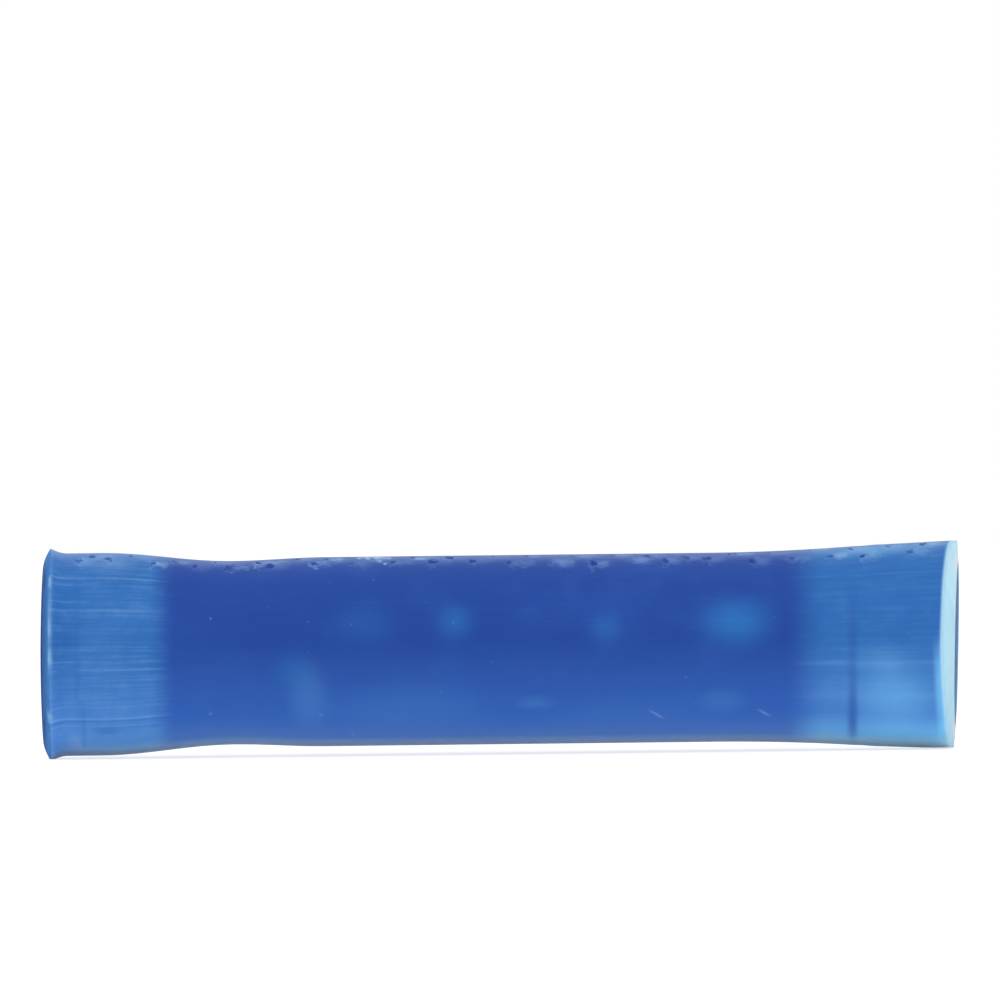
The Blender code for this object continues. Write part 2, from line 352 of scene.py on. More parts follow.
class NodeGraph:
    """The nodes of one material or surround, made by short calls that each hand back a socket."""

    def __init__(self, owner: bpy.types.Material | bpy.types.World) -> None:
        """Starts with the owner's nodes emptied."""
        owner.use_nodes = True
        self.owner = owner
        self.tree = owner.node_tree
        self.tree.nodes.clear()

    def add(self, kind: str, inputs: dict[Any, Any] | None = None, **settings: Any) -> bpy.types.Node:
        """Adds a node.

        Args:
            kind: the node's type, without the words ShaderNode.
            inputs: sockets, numbers or colours by the input's name or number.
            settings: the node's own properties.

        Returns:
            The node.
        """
        node = self.tree.nodes.new("ShaderNode" + kind)
        for key, value in settings.items():
            setattr(node, key, value)
        for key, value in (inputs or {}).items():
            if isinstance(value, Socket):
                self.tree.links.new(value, node.inputs[key])
            else:
                node.inputs[key].default_value = value
        return node

    def layer(self, layer: Layer) -> Socket:
        """The mask that the mesh carries under that name."""
        return self.add("Attribute", attribute_name=layer.value, attribute_type="GEOMETRY").outputs["Fac"]

    def number(self, operation: str, *values: Socket | float, clamp: bool = False) -> Socket:
        """The outcome of a Math node on up to three sockets or numbers."""
        return self.add("Math", dict(enumerate(values)), operation=operation, use_clamp=clamp).outputs[0]

    def vector(self, operation: str, *values: Any) -> Socket:
        """The outcome of a Vector Math node."""
        return self.add("VectorMath", dict(enumerate(values)), operation=operation).outputs[0]

    def mix(self, share: Socket | float, low: Any, high: Any) -> Socket:
        """Low where share is 0, high where it is 1. Colours are sockets or (red, green, blue)."""
        low, high = (colour if isinstance(colour, Socket) else (*colour, 1.0) for colour in (low, high))
        return self.add("Mix", {0: share, 6: low, 7: high}, data_type="RGBA", clamp_factor=True).outputs[2]

    def noise(self, vector: Socket, grain: Grain) -> Socket:
        """Smooth noise from 0 to 1, with its middle at 0.5."""
        inputs = {"Scale": grain.scale, "Detail": grain.detail, "Roughness": grain.roughness}
        return self.add("TexNoise", {"Vector": vector, **inputs}).outputs["Fac"]

    def swing(self, noise: Socket, strength: float) -> Socket:
        """Turns noise from 0 to 1 into a swing of plus or minus strength."""
        return self.between(noise, -strength, strength)

    def between(self, share: Socket, low: float, high: float) -> Socket:
        """The number low where share is 0, high where it is 1."""
        return self.number("MULTIPLY_ADD", share, high - low, low)

    def slope(self, value: Socket, slope: Slope) -> Socket:
        """The slope's line at the value, held between 0 and 1."""
        return self.number("MULTIPLY_ADD", value, slope.gain, slope.offset, clamp=True)

    def above_zero(self, value: Socket) -> Socket:
        """The value, or 0 where it is negative."""
        return self.number("MAXIMUM", value, 0.0)

    def bump(self, height: Socket, strength: float, depth: float) -> Socket:
        """The normal of a surface that the height raises by up to depth, at that strength."""
        inputs = {"Height": height, "Strength": strength, "Distance": depth}
        return self.add("Bump", inputs).outputs["Normal"]

    def seen_share(self) -> Socket:
        """1 for rays from the camera and for mirrored and refracted rays, 0 for the light on the object."""
        path = self.add("LightPath").outputs
        seen = self.number("ADD", path["Is Camera Ray"], path["Is Glossy Ray"])
        return self.number("ADD", seen, path["Is Transmission Ray"], clamp=True)

    def finish(self, shader: Socket) -> bpy.types.Material | bpy.types.World:
        """Joins the shader to the output and hands the owner back."""
        kind = "OutputWorld" if isinstance(self.owner, bpy.types.World) else "OutputMaterial"
        self.add(kind, {"Surface": shader})
        return self.owner


@dataclass(frozen=True)
class DieLine:
    """A line that the extrusion die drew along the vinyl: where round X, how wide and how light."""

    turn: float
    half_width: float
    lightness: float


@dataclass(frozen=True)
class VinylFinish:
    """Milky translucent blue vinyl: dark where metal backs it, light where it stands free.

    Colours are linear. A free-standing wall lets light through, and more of it low down, where the pale floor
    shines into it; that floor light is painted into the colours. The right cut passes that light on, so its
    painted glow is the lightest place, and the left cut's painted shade darkens towards its bore. Rough marks
    break up into pale grains and dark pits.
    """

    backed: Colour = (0.018, 0.067, 0.332)
    # The two low colours are painted floor light: the wall as the pale floor lights it from below
    backed_floor_lit: Colour = (0.054, 0.193, 0.640)
    free: Colour = (0.029, 0.151, 0.455)
    free_floor_lit: Colour = (0.115, 0.340, 0.800)
    bloom: Colour = (0.026, 0.160, 0.480)
    shade: Colour = (0.018, 0.055, 0.290)
    pale: Colour = (0.430, 0.650, 0.950)
    # haze, glow and rim are painted light, coming through the wall and out of the cuts; lip is painted shade
    haze_light: Colour = (0.230, 0.640, 1.000)
    glow: Colour = (0.515, 0.825, 1.000)
    lip: Colour = (0.002, 0.035, 0.160)
    rim: Colour = (0.800, 0.860, 0.975)
    bore: Colour = (0.035, 0.140, 0.420)
    roughness: float = 0.42
    roughness_swing: float = 0.06
    cut_roughness: float = 0.95
    specular: float = 0.07
    milkiness: float = 0.35
    light_reach: float = 0.6 * MM
    bump_strength: float = 0.35
    bump_depth: float = 0.006 * MM
    surface_grain: Grain = Grain(5200.0, 2.0)
    surface_height: float = 0.35
    streak_height: float = 4.0
    cloud_grain: Grain = Grain(420.0, 3.0)
    cloud_strength: float = 0.25
    fleck_grain: Grain = Grain(1900.0, 4.0, 0.65)
    fleck_levels: Span = (0.110, 0.045)
    body_flecks: float = 0.012
    streak_grain: Grain = Grain(1.0, 3.0, 0.6)
    streak_levels: Span = (0.155, 0.055)
    body_streaks: float = 0.02
    streaks_round: float = 34.0
    streaks_along: float = 380.0
    dark_gain: float = 2.0
    rough_slope: Slope = Slope(3.2, -0.42)
    mottle_grain: Grain = Grain(6500.0, 3.0, 0.6)
    mottle_strength: float = 1.6
    speck_grain: Grain = Grain(8000.0, 0.0)
    speck_slope: Slope = Slope(6.0, -5.0)
    speck_strength: float = 0.22
    pit_grain: Grain = Grain(4700.0, 2.0)
    pit_slope: Slope = Slope(7.0, -4.1)
    blade_grain: Grain = Grain(2600.0, 3.0, 0.6)
    blade_stretch: Colour = (0.3, 1.0, 0.22)
    blade_levels: Span = (0.80, 1.20)
    line_grain: Grain = Grain(300.0, 2.0)
    line_waver: float = 0.004
    line_contrast: float = 0.30
    lines_from: float = 25.0
    lines_span: float = 120.0
    left_lines: tuple[DieLine, ...] = (
        DieLine(31.5, 0.9, 0.20),
        DieLine(41.3, 1.0, 0.38),
        DieLine(46.8, 0.8, 0.27),
        DieLine(64.2, 1.4, 0.24),
        DieLine(94.2, 1.2, 0.31),
        DieLine(98.3, 0.9, 0.25),
        DieLine(120.5, 1.0, 0.42),
        DieLine(128.8, 1.1, 0.82),
        DieLine(130.9, 0.8, -0.50),
        DieLine(134.2, 1.1, 0.45),
    )
    right_lines: tuple[DieLine, ...] = (
        DieLine(44.4, 0.9, 0.17),
        DieLine(46.4, 0.9, -0.20),
        DieLine(92.4, 2.0, 0.10),
        DieLine(99.2, 2.3, 0.30),
        DieLine(105.0, 2.6, -0.15),
        DieLine(119.5, 4.5, 0.20),
        DieLine(131.0, 3.0, -0.10),
    )

    def material(self, name: str) -> bpy.types.Material:
        """The vinyl as a material.

        Args:
            name: the material's name.

        Returns:
            The material, which reads Object coordinates, the wrap UV map and the mesh's layers.
        """
        graph = NodeGraph(bpy.data.materials.new(name))
        place = graph.add("TexCoord").outputs["Object"]
        axes = graph.add("SeparateXYZ", {0: place}).outputs
        free_share = graph.number("SUBTRACT", 1.0, graph.layer(Layer.BACKING))
        at_right = graph.number("GREATER_THAN", axes[0], 0.0)
        uncut_share = graph.number("SUBTRACT", free_share, graph.layer(Layer.MATTE), clamp=True)
        streaks = self.streaks(graph, axes, uncut_share, at_right)
        lines = self.lines(graph, axes, uncut_share, at_right)
        lighter = graph.number("ADD", streaks, lines)
        lighter = graph.number("ADD", lighter, self.flecks(graph, place, at_right))

        colour = self.wall_colour(graph, place)
        colour = graph.mix(graph.above_zero(lighter), colour, self.pale)
        darker = graph.number("MULTIPLY", lighter, -self.dark_gain)
        colour = graph.mix(graph.above_zero(darker), colour, self.shade)
        # Painted light: the haze layer's bright blue, with the clouds between the grip marks
        colour = graph.mix(graph.layer(Layer.HAZE_LIGHT), colour, self.haze_light)
        colour = graph.mix(graph.layer(Layer.BORE), colour, self.bore)
        colour = graph.mix(graph.layer(Layer.SHADE), colour, self.shade)
        colour = self.with_marks(graph, place, colour)
        colour = self.with_cuts(graph, place, colour)

        grain = graph.noise(place, self.surface_grain)
        rough_height = graph.swing(grain, self.surface_height)
        height = graph.number("MULTIPLY_ADD", streaks, self.streak_height, rough_height)
        bump = graph.bump(height, self.bump_strength, self.bump_depth)
        matte = graph.between(graph.layer(Layer.MATTE), self.roughness, self.cut_roughness)
        shader = graph.add(
            "BsdfPrincipled",
            {
                "Base Color": colour,
                "Roughness": graph.number("ADD", graph.swing(grain, self.roughness_swing), matte),
                "Specular IOR Level": self.specular,
                "Subsurface Weight": self.milkiness,
                "Subsurface Radius": (1.0, 1.0, 1.0),
                "Subsurface Scale": self.light_reach,
                "Normal": bump,
            },
        )
        return graph.finish(shader.outputs["BSDF"])

    def wall_colour(self, graph: NodeGraph, place: Socket) -> Socket:
        """The plain vinyl: backed or free, with painted floor light low down, lighter blooms and soft clouds.
        """
        backing = graph.layer(Layer.BACKING)
        wall = graph.mix(backing, self.free, self.backed)
        floor_lit_wall = graph.mix(backing, self.free_floor_lit, self.backed_floor_lit)
        colour = graph.mix(graph.layer(Layer.UNDERSIDE_LIGHT), wall, floor_lit_wall)
        colour = graph.mix(graph.layer(Layer.BLOOM), colour, self.bloom)
        cloud = graph.swing(graph.noise(place, self.cloud_grain), self.cloud_strength)
        return graph.mix(graph.above_zero(cloud), colour, floor_lit_wall)

    def flecks(self, graph: NodeGraph, place: Socket, at_right: Socket) -> Socket:
        """Fine flecks: how much lighter or darker each place is, most in the left bell, least in the body."""
        free_share = graph.number("SUBTRACT", 1.0, graph.layer(Layer.BACKING))
        bell_flecks = graph.between(at_right, *self.fleck_levels)
        strength = graph.number("MULTIPLY_ADD", free_share, bell_flecks, self.body_flecks)
        return graph.number("MULTIPLY", graph.swing(graph.noise(place, self.fleck_grain), 1.0), strength)

    def with_marks(self, graph: NodeGraph, place: Socket, colour: Socket) -> Socket:
        """Adds specks and pale marks, with painted sheen and light; the rough ones are mottled and pitted.

        Args:
            graph: the material's nodes.
            place: Object coordinates.
            colour: the vinyl's colour below the marks.

        Returns:
            The colour with the marks.
        """
        pale = graph.layer(Layer.PALE_AND_LIGHT)
        rough_share = graph.slope(graph.layer(Layer.ROUGH), self.rough_slope)
        mottle = graph.swing(graph.noise(place, self.mottle_grain), self.mottle_strength)
        mottle = graph.above_zero(graph.number("MULTIPLY_ADD", mottle, rough_share, 1.0))
        speck = graph.slope(graph.noise(place, self.speck_grain), self.speck_slope)
        colour = graph.mix(graph.number("MULTIPLY", speck, self.speck_strength), colour, self.pale)
        colour = graph.mix(graph.number("MULTIPLY", pale, mottle), colour, self.pale)
        pitted = graph.slope(graph.noise(place, self.pit_grain), self.pit_slope)
        pitted = graph.number("MULTIPLY", pitted, graph.number("MULTIPLY", pale, rough_share))
        return graph.mix(pitted, colour, self.shade)

    def with_cuts(self, graph: NodeGraph, place: Socket, colour: Socket) -> Socket:
        """Adds the left cut's painted shade, and the right cut's painted glow with the blade's traces and
        pale rim.

        Args:
            graph: the material's nodes.
            place: Object coordinates.
            colour: the vinyl's colour beside the cuts.

        Returns:
            The colour with the cuts.
        """
        colour = graph.mix(graph.layer(Layer.LIP_SHADE), colour, self.lip)
        traces = graph.noise(graph.vector("MULTIPLY", place, self.blade_stretch), self.blade_grain)
        traces = graph.between(traces, *self.blade_levels)
        lit = graph.number("MULTIPLY", graph.layer(Layer.GLOW), traces)
        colour = graph.mix(lit, colour, self.glow)
        return graph.mix(graph.layer(Layer.RIM_LIGHT), colour, self.rim)

    def streaks(self, graph: NodeGraph, axes: Any, uncut_share: Socket, at_right: Socket) -> Socket:
        """Fine die streaks: noise read at a direction round X, much stretched along it.

        Args:
            graph: the material's nodes.
            axes: x, y and z in Object coordinates.
            uncut_share: 1 where nothing backs the wall and no blade cut it, where the streaks show most.
            at_right: 1 in the right half, whose bell shows them less.

        Returns:
            How much lighter, or darker if negative, each place is.
        """
        across = graph.add("CombineXYZ", {1: axes[1], 2: axes[2]}).outputs[0]
        direction = graph.vector("NORMALIZE", across)
        spread = graph.vector("MULTIPLY", direction, (self.streaks_round,) * 3)
        along = graph.number("MULTIPLY", axes[0], self.streaks_along)
        stretched = graph.vector("ADD", spread, graph.add("CombineXYZ", {0: along}).outputs[0])
        bell_streaks = graph.between(at_right, *self.streak_levels)
        strength = graph.number("MULTIPLY_ADD", uncut_share, bell_streaks, self.body_streaks)
        return graph.number("MULTIPLY", graph.swing(graph.noise(stretched, self.streak_grain), 1.0), strength)

    def lines(self, graph: NodeGraph, axes: Any, uncut_share: Socket, at_right: Socket) -> Socket:
        """The strong die lines of both bells, read from the V of the wrap map through one ramp for each end.

        A ramp is kept as a table of 256 places, so it takes the front's part of the turn alone.

        Args:
            graph: the material's nodes.
            axes: x, y and z in Object coordinates.
            uncut_share: 1 where nothing backs the wall and no blade cut it.
            at_right: 1 in the right half.

        Returns:
            How much lighter, or darker if negative, each place is.
        """
        turn = graph.add("SeparateXYZ", {0: graph.add("UVMap", uv_map=WRAP_MAP).outputs[0]}).outputs[1]
        along = graph.add("CombineXYZ", {0: axes[0]}).outputs[0]
        waver = graph.swing(graph.noise(along, self.line_grain), self.line_waver)
        wavering = graph.number("FRACT", graph.number("ADD", turn, waver))
        front = graph.slope(wavering, Slope(360 / self.lines_span, -self.lines_from / self.lines_span))
        left = self.ramp(graph, front, self.left_lines)
        right = self.ramp(graph, front, self.right_lines)
        both = graph.add("Mix", {0: at_right, 2: left, 3: right}, data_type="FLOAT").outputs[0]
        return graph.number("MULTIPLY", graph.swing(both, self.line_contrast), uncut_share)

    def ramp(self, graph: NodeGraph, front: Socket, lines: tuple[DieLine, ...]) -> Socket:
        """A ramp over the front with a peak or a dip at each line: 0.5 is plain vinyl."""
        node = graph.add("ValToRGB", {0: front})
        stops = node.color_ramp.elements
        stops[0].color = stops[1].color = (0.5, 0.5, 0.5, 1.0)
        for line in lines:
            for offset, lightness in ((-1, 0.0), (0, line.lightness), (1, 0.0)):
                stop = stops.new((line.turn + offset * line.half_width - self.lines_from) / self.lines_span)
                level = 0.5 + lightness / 2
                stop.color = (level, level, level, 1.0)
        return node.outputs["Color"]


@dataclass(frozen=True)
class TinFinish:
    """Electro-tinned copper: pale grey metal, satin from drawing and tumbling, darker in its brazed seam."""

    bright: Colour = (0.66, 0.65, 0.62)
    dull: Colour = (0.47, 0.46, 0.43)
    braze: Colour = (0.50, 0.42, 0.30)
    roughness: float = 0.30
    roughness_swing: float = 0.12
    cloud_grain: Grain = Grain(900.0, 3.0)
    scratch_grain: Grain = Grain(6500.0, 3.0, 0.7)
    scratch_stretch: Colour = (0.12, 1.0, 1.0)
    bump_strength: float = 0.25
    bump_depth: float = 0.004 * MM

    def material(self, name: str) -> bpy.types.Material:
        """The tinned metal as a material.

        Args:
            name: the material's name.

        Returns:
            The material, which reads Object coordinates and the mesh's seam layer.
        """
        graph = NodeGraph(bpy.data.materials.new(name))
        place = graph.add("TexCoord").outputs["Object"]
        scratch = graph.noise(graph.vector("MULTIPLY", place, self.scratch_stretch), self.scratch_grain)
        cloud = graph.noise(place, self.cloud_grain)
        colour = graph.mix(cloud, self.dull, self.bright)
        colour = graph.mix(graph.layer(Layer.SEAM), colour, self.braze)
        bump = graph.bump(scratch, self.bump_strength, self.bump_depth)
        shader = graph.add(
            "BsdfPrincipled",
            {
                "Base Color": colour,
                "Metallic": 1.0,
                "Roughness": graph.number("ADD", self.roughness, graph.swing(cloud, self.roughness_swing)),
                "Normal": bump,
            },
        )
        return graph.finish(shader.outputs["BSDF"])


@dataclass
class CrimpBarrel:
    """The rolled and brazed barrel: a tube with a serrated bore and a wire stop pressed into its middle."""

    bore: float = 2.3 * MM
    wall: float = 0.8 * MM
    entry_chamfer: float = 0.25 * MM
    edge_chamfer: float = 0.12 * MM
    serration_count: int = 4
    serration_start: float = 1.9 * MM
    serration_pitch: float = 1.2 * MM
    serration_width: float = 0.48 * MM
    serration_flank: float = 0.14 * MM
    serration_depth: float = 0.12 * MM
    stop_length: float = 2.2 * MM
    stop_width: float = 1.9 * MM
    stop_depth: float = 0.7 * MM
    seam_width: float = 0.22 * MM
    seam_depth: float = 0.08 * MM
    seam_turn: float = 3 * QUARTER_TURN
    braze_gain: float = 2.0
    station_spacing: float = 0.07 * MM
    seam_turn_spacing: float = 0.45
    turn_spacing: float = 2.4
    edge_rounding: float = 0.03 * MM
    rounding_steps: int = 3
    end_steps: int = 6
    finish: TinFinish = field(default_factory=TinFinish)

    def __post_init__(self) -> None:
        """Takes the barrel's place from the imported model."""
        low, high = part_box("crimp_barrel")
        self.left, self.right = low.x, high.x
        self.middle = (low.x + high.x) / 2
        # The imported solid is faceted, so its flats lie a little inside the true round
        self.radius = -low.y
        self.bore_radius = self.radius - self.wall

    def bore_radius_at(self, x: np.ndarray) -> np.ndarray:
        """The bore's radius along x.

        It is the plain bore, widened by the serrations, each a groove with sloping flanks and a flat floor,
        and by the chamfer at each mouth.

        Args:
            x: places along the barrel.

        Returns:
            The radius at each.
        """
        setback = np.minimum(x - self.left, self.right - x)
        number = np.round((setback - self.serration_start) / self.serration_pitch)
        number = np.clip(number, 0, self.serration_count - 1)
        offset = np.abs(setback - self.serration_start - number * self.serration_pitch)
        depth = np.clip((self.serration_width / 2 - offset) / self.serration_flank, 0, 1)
        mouth = np.clip(self.entry_chamfer - setback, 0, None)
        return self.bore_radius + self.serration_depth * depth + mouth

    def section(self) -> Section:
        """The wall's closed section, with its chamfers and the bore's grooves."""
        inner = self.bore_radius + self.entry_chamfer
        rim = self.radius - self.edge_chamfer
        count = round((self.right - self.left) / self.station_spacing)
        x = np.linspace(self.left, self.right, count)
        chamfer = np.clip(self.edge_chamfer - np.minimum(x - self.left, self.right - x), 0, None)
        outside = np.column_stack([x, self.radius - chamfer])
        inside = np.column_stack([x, self.bore_radius_at(x)])[::-1]
        right_end = straight((self.right, rim), (self.right, inner), self.end_steps)
        left_end = straight((self.left, inner), (self.left, rim), self.end_steps)
        lines = [outside, right_end, inside, left_end]
        return Section.rounded(lines, self.edge_rounding, self.rounding_steps)

    def build(self) -> bpy.types.Object:
        """Makes the barrel.

        A point at (x, radius, turn) is carried round X. The seam is a V groove along the outside at the
        back. The wire stop moves each point straight towards the axis by its depth times cosine squared
        along and across.

        Returns:
            The dressed piece.
        """
        section = self.section()
        half_seam = math.degrees(self.seam_width / self.radius)
        seam_degrees = math.degrees(self.seam_turn)
        near_seam = (seam_degrees - half_seam, seam_degrees + half_seam, self.seam_turn_spacing)
        turns = turns_with((near_seam,), self.turn_spacing)
        x, radius = section.points[:, :1], section.points[:, 1:]
        from_seam = np.abs(turn_apart(turns, self.seam_turn)) * radius
        groove = np.clip(1 - from_seam / (self.seam_width / 2), 0, 1) * section.on(Stretch.OUTSIDE)
        radius = radius - self.seam_depth * groove
        y = -radius * np.sin(turns)
        z = radius * np.cos(turns)
        along = (x - self.middle) / (self.stop_length / 2)
        across = y / (self.stop_width / 2)
        z = z - np.sign(z) * self.stop_depth * mound(along) * mound(across)
        points = np.stack([np.broadcast_to(x, y.shape), y, z], axis=-1)
        layers = {Layer.SEAM: smooth_step(self.braze_gain * groove)}
        piece = carried_round("crimp_barrel_metal", points, layers, turns)
        piece.data.materials.append(self.finish.material("tinned_copper"))
        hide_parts("crimp_barrel")
        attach(piece, BODY)
        return piece


@dataclass(frozen=True)
class Blot:
    """A soft oval on the sleeve.

    It has a middle and half sizes in millimetres along x and in degrees round X, a strength, and a lean: how
    many degrees its long line turns in each millimetre.
    """

    x: float
    turn: float
    half_length: float
    half_turn: float
    strength: float
    lean: float = 0.0

    def on(self, x: np.ndarray, turns: np.ndarray) -> np.ndarray:
        """Its strength at each place: a round mound over the oval."""
        offset = x / MM - self.x
        along = offset / self.half_length
        from_line = turn_apart(turns, math.radians(self.turn)) - math.radians(self.lean) * offset
        across = from_line / math.radians(self.half_turn)
        return self.strength * mound(np.hypot(along, across))


def all_on(blots: tuple[Blot, ...], x: np.ndarray, turns: np.ndarray) -> np.ndarray:
    """The blots' strengths at each place, added up."""
    return sum(blot.on(x, turns) for blot in blots)


@dataclass(frozen=True)
class Bites:
    """What the tooth marks do at each station and turn: how far the surface moves out, and three masks."""

    rise: np.ndarray
    core_shade: np.ndarray
    pale: np.ndarray
    clouded: np.ndarray


@dataclass(frozen=True)
class GripMarks:
    """The ragged tooth marks that a gripping jaw left along the top of the front.

    The teeth bit in two rows by turns, at an even pitch, weakly in one place and more boldly in the left
    third. Each mark is a small V with its point towards the front, with painted shade inside, with a faint
    pale edge of vinyl that it pushed up, and the vinyl between two marks is clouded.
    """

    first: float = -12.12 * MM
    pitch: float = 0.5665 * MM
    count: int = 44
    upper_turn: float = 13.5
    lower_turn: float = 23.5
    half_width: float = 0.125 * MM
    height: float = 8.5
    depth: float = 0.022 * MM
    lip: float = 0.003 * MM
    scatter: float = 0.085 * MM
    turn_scatter: float = 1.7
    sizes: Span = (0.65, 1.3)
    forces: Span = (0.5, 1.0)
    skews: Span = (-0.7, 0.7)
    weak_place: Ridge = Ridge(3.57 * MM, 1.1 * MM, 0.7)
    bold_left: Rise = Rise(-3.9 * MM, -1.6 * MM)
    bold_least: float = 0.25
    bold_right: Rise = Rise(-10.3 * MM, MM, 0.75)
    bite_flank: float = 2.2
    bite_entry: float = 4.0
    edge_ridge: Ridge = Ridge(1.22, 0.42)
    edge_entry: Slope = Slope(3.0, 0.4)
    edge_strengths: Span = (0.00, 0.12)
    edge_boldness: Slope = Slope(3.0, 1.2)
    core_side: float = 0.9
    core_middle: float = 0.34
    core_reach: float = 0.52
    core_gain: float = 1.5
    core_boldness: Slope = Slope(0.35, 1.1)
    cloud_places: Span = (0.3, 0.7)
    cloud_lengths: Span = (0.6, 1.2)
    cloud_lift: float = 1.0
    cloud_turns: Span = (6.0, 11.0)
    cloud_strengths: Span = (0.03, 0.24)
    cloud_boldness: Slope = Slope(0.5, 1.1)
    rag: float = 0.060 * MM
    rag_length: float = 0.16 * MM
    rag_lengths: Span = (1.0, 2.6)
    rag_waves: int = 10
    rag_seeds: tuple[int, int] = (5, 6)
    body_radius: float = 2.7 * MM
    seed: int = 11

    def ragged(self, x: np.ndarray, turns: np.ndarray, seed: int) -> np.ndarray:
        """An uneven field, about -1 to 1: plane waves in x and the arc round X, in all directions.

        Args:
            x: a column of stations.
            turns: a row of turns.
            seed: fixes the waves' directions, lengths and phases.

        Returns:
            The field at each station and turn.
        """
        random = np.random.default_rng(seed)
        directions, phases = random.uniform(0, FULL_TURN, (2, self.rag_waves))
        lengths = self.rag_length * random.uniform(*self.rag_lengths, self.rag_waves)
        arc = turns * self.body_radius
        way = x[..., None] * np.cos(directions) + arc[..., None] * np.sin(directions)
        return np.sin(FULL_TURN * way / lengths + phases).sum(axis=-1) / math.sqrt(self.rag_waves)

    def press(self, x: np.ndarray, turns: np.ndarray) -> Bites:
        """Works out every mark on the grid, whose places are first shifted unevenly, so that it gets ragged.

        In a mark, fall runs from 0 at its upper edge to 1 at its point, and side is the distance from its
        middle line as a share of its half width. The line leans by the skew. The bite deepens from the edge
        where fall plus side is 1, up to its full depth, and the pushed up vinyl is a low ridge just outside
        it. The dark core, painted shade in the bite, is an oval a little above the mark's middle.

        Args:
            x: a column of stations.
            turns: a row of turns.

        Returns:
            What the marks do at each station and turn.
        """
        random = np.random.default_rng(self.seed)
        rise, core_shade, pale, clouded = np.zeros((4, x.shape[0], turns.shape[0]))
        along, round_x = [self.ragged(x, turns, seed) for seed in self.rag_seeds]
        x = x + self.rag * along
        turns = turns + self.rag / self.body_radius * round_x
        for number in range(self.count):
            turn = self.upper_turn if number % 2 else self.lower_turn
            turn += random.normal(0, self.turn_scatter)
            centre = self.first + number * self.pitch + random.normal(0, self.scatter)
            size = random.uniform(*self.sizes)
            force = random.uniform(*self.forces) * (1 - self.weak_place.at(centre))
            skew = random.uniform(*self.skews)
            bold = self.bold_left.at(centre) * (self.bold_least + self.bold_right.at(centre))
            fall = turn_apart(turns, math.radians(turn)) / math.radians(self.height * size) + 0.5
            side = np.abs((x - centre) / (self.half_width * size) + skew * (fall - 0.5))
            inside = np.clip(1 - fall - side, 0, 1) * (fall > 0)
            bite = np.minimum(inside * self.bite_flank, np.clip(fall * self.bite_entry, 0, 1))
            edge = self.edge_ridge.at(fall + side) * np.clip(self.edge_entry.at(fall), 0, 1)
            rise += self.lip * force * edge - self.depth * force * bite
            core = mound(np.hypot(side * self.core_side, (fall - self.core_middle) / self.core_reach))
            core_strength = np.clip(force * self.core_boldness.at(bold), 0, 1)
            # Painted shade in the bite's core
            core_shade = np.maximum(core_shade, core_strength * smooth_step(core * self.core_gain))
            edge_strength = random.uniform(*self.edge_strengths) * self.edge_boldness.at(bold)
            pale = np.maximum(pale, force * edge * edge_strength)
            beside = x - centre - self.pitch * random.uniform(*self.cloud_places)
            beside = beside / (self.pitch * random.uniform(*self.cloud_lengths))
            around = turn_apart(turns, math.radians(turn - self.cloud_lift))
            around = around / math.radians(random.uniform(*self.cloud_turns))
            cloud_strength = random.uniform(*self.cloud_strengths) * self.cloud_boldness.at(bold)
            clouded = np.maximum(clouded, cloud_strength * mound(np.hypot(beside, around)))
        return Bites(rise, core_shade, pale, clouded)


